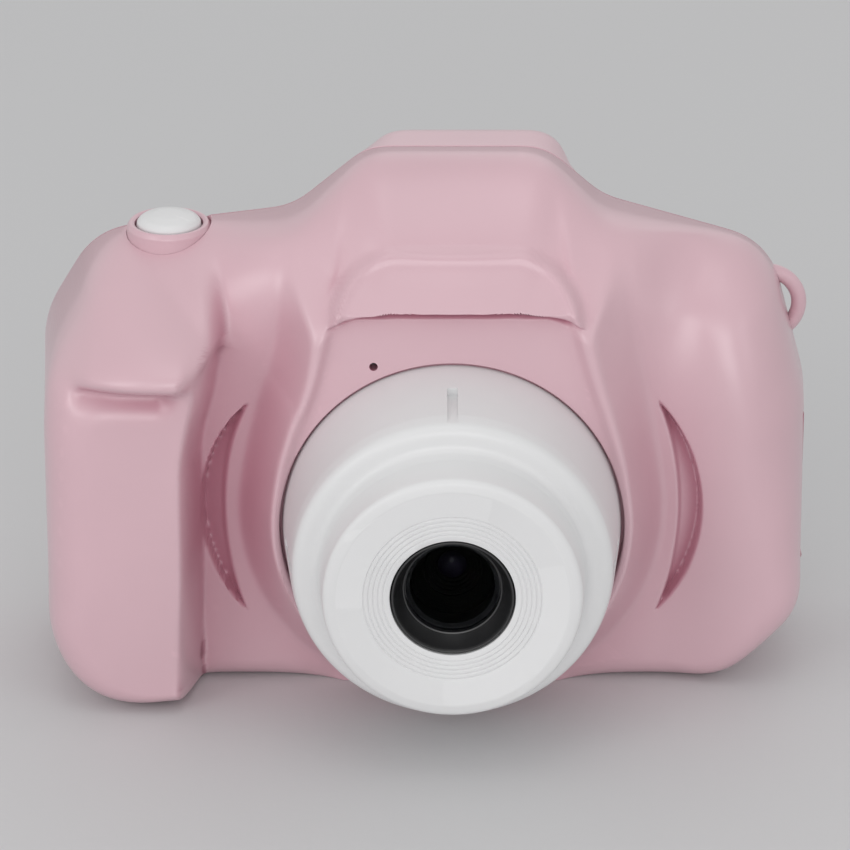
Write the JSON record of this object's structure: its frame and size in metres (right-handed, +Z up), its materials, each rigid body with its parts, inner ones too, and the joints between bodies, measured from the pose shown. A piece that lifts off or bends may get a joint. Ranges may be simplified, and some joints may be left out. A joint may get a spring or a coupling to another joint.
{
  "type": "kids digital camera",
  "caption": "Small pillowy camera for children with a finger grip, a stepped round lens barrel, a shutter button, a rear screen and round keys, and a side flap over its sockets.",
  "frame": {"origin": "centre of the bounding box in plan, at the flat base", "axes": "+Z up, +X to the right of someone who faces the lens, -Y the way the lens points"},
  "size_m": [0.082, 0.0448, 0.0576],
  "materials": {
    "pink": "satin moulded plastic, soft pink",
    "white": "satin moulded plastic, white",
    "black": "black moulded plastic",
    "glass": "clear, slightly smoky window",
    "board": "green solder mask",
    "steel": "bare pressed steel",
    "battery": "silvery laminate pouch",
    "flex": "amber flexible circuit",
    "rubber": "soft pink rubber"
  },
  "bodies": {
    "case": {"battery": "battery", "battery_lead": "black", "card_socket": "steel", "case_screw_1": "steel", "case_screw_2": "steel", "case_screw_3": "steel", "case_screw_4": "steel", "down_switch": "black", "front_shell": "pink", "image_processor": "black", "lanyard_loop": "pink", "lcd_panel": "black", "left_switch": "black", "lens_barrel": "white", "lens_bezel": "black", "lens_window": "glass", "main_board": "board", "microphone": "steel", "mode_switch": "black", "module_barrel": "black", "module_glass": "glass", "module_housing": "black", "ok_switch": "black", "power_switch": "black", "rear_shell": "pink", "right_switch": "black", "screen_window": "glass", "sensor_board": "board", "sensor_ribbon": "flex", "shutter_board": "board", "shutter_collar": "pink", "shutter_switch": "black", "speaker": "black", "up_switch": "black", "usb_socket": "steel"},
    "shutter": {"shutter_button": "white", "shutter_plunger": "steel"},
    "port_cover": {"port_cover": "rubber"},
    "up_key": {"up_button": "white", "up_plunger": "steel"},
    "down_key": {"down_button": "white", "down_plunger": "steel"},
    "left_key": {"left_button": "white", "left_plunger": "steel"},
    "right_key": {"right_button": "white", "right_plunger": "steel"},
    "ok_key": {"ok_button": "white", "ok_plunger": "steel"},
    "mode_key": {"mode_button": "white", "mode_plunger": "steel"},
    "power_key": {"power_button": "white", "power_plunger": "steel"}
  },
  "joints": [
    {"name": "shutter_press", "type": "slide", "parent": "case", "child": "shutter", "axis": [0, 0, -1], "range_m": [0, 0.0008], "stiffness_N_per_m": 1500},
    {"name": "up_press", "type": "slide", "parent": "case", "child": "up_key", "axis": [0, -1, 0], "range_m": [0, 0.0005], "stiffness_N_per_m": 2000},
    {"name": "down_press", "type": "slide", "parent": "case", "child": "down_key", "axis": [0, -1, 0], "range_m": [0, 0.0005], "stiffness_N_per_m": 2000},
    {"name": "left_press", "type": "slide", "parent": "case", "child": "left_key", "axis": [0, -1, 0], "range_m": [0, 0.0005], "stiffness_N_per_m": 2000},
    {"name": "right_press", "type": "slide", "parent": "case", "child": "right_key", "axis": [0, -1, 0], "range_m": [0, 0.0005], "stiffness_N_per_m": 2000},
    {"name": "ok_press", "type": "slide", "parent": "case", "child": "ok_key", "axis": [0, -1, 0], "range_m": [0, 0.0005], "stiffness_N_per_m": 2000},
    {"name": "mode_press", "type": "slide", "parent": "case", "child": "mode_key", "axis": [0, -1, 0], "range_m": [0, 0.0005], "stiffness_N_per_m": 2000},
    {"name": "power_press", "type": "slide", "parent": "case", "child": "power_key", "axis": [0, -1, 0], "range_m": [0, 0.0005], "stiffness_N_per_m": 2000},
    {"name": "port_cover_hinge", "type": "hinge", "parent": "case", "child": "port_cover", "pos_m": [0.0404, 0.00895, 0.0125], "axis": [0, 1, 0], "range_deg": [0, 95]}
  ]
}
